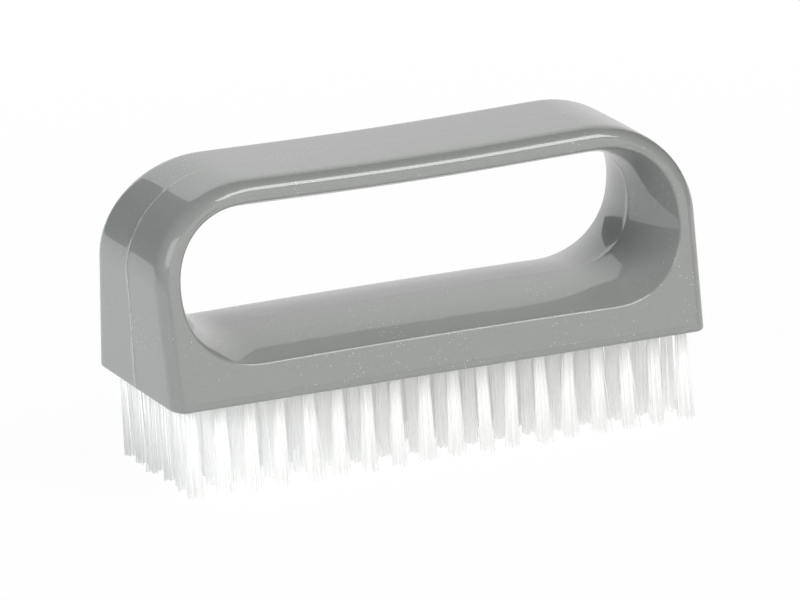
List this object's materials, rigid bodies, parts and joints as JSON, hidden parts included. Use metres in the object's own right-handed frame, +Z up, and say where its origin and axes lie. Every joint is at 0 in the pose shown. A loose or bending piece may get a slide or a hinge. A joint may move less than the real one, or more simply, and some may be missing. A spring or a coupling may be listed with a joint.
{
  "type": "nail brush",
  "caption": "Nail brush with a loop handle moulded in one piece with its block, and straight rows of nylon tufts for scrubbing nails and fingertips.",
  "frame": {"origin": "under the middle of the brush, on the surface that the bristle tips stand on", "axes": "+X along the brush, +Z up from the bristle tips to the handle, -Y out of the front face"},
  "size_m": [0.1112, 0.0422, 0.0596],
  "materials": {
    "grey_plastic": "glossy silver-grey moulding with a fine metal flake",
    "nylon": "translucent white nylon filament",
    "anchor_wire": "galvanised flat wire"
  },
  "bodies": {
    "root": {"body": "grey_plastic", "tuft_column_01": "nylon", "tuft_column_02": "nylon", "tuft_column_03": "nylon", "tuft_column_04": "nylon", "tuft_column_05": "nylon", "tuft_column_06": "nylon", "tuft_column_07": "nylon", "tuft_column_08": "nylon", "tuft_column_09": "nylon", "tuft_column_10": "nylon", "tuft_column_11": "nylon", "tuft_column_12": "nylon", "tuft_column_13": "nylon", "tuft_column_14": "nylon", "tuft_column_15": "nylon", "tuft_column_16": "nylon", "tuft_column_17": "nylon", "tuft_column_18": "nylon", "anchor_column_01": "anchor_wire", "anchor_column_02": "anchor_wire", "anchor_column_03": "anchor_wire", "anchor_column_04": "anchor_wire", "anchor_column_05": "anchor_wire", "anchor_column_06": "anchor_wire", "anchor_column_07": "anchor_wire", "anchor_column_08": "anchor_wire", "anchor_column_09": "anchor_wire", "anchor_column_10": "anchor_wire", "anchor_column_11": "anchor_wire", "anchor_column_12": "anchor_wire", "anchor_column_13": "anchor_wire", "anchor_column_14": "anchor_wire", "anchor_column_15": "anchor_wire", "anchor_column_16": "anchor_wire", "anchor_column_17": "anchor_wire", "anchor_column_18": "anchor_wire"}
  },
  "joints": []
}
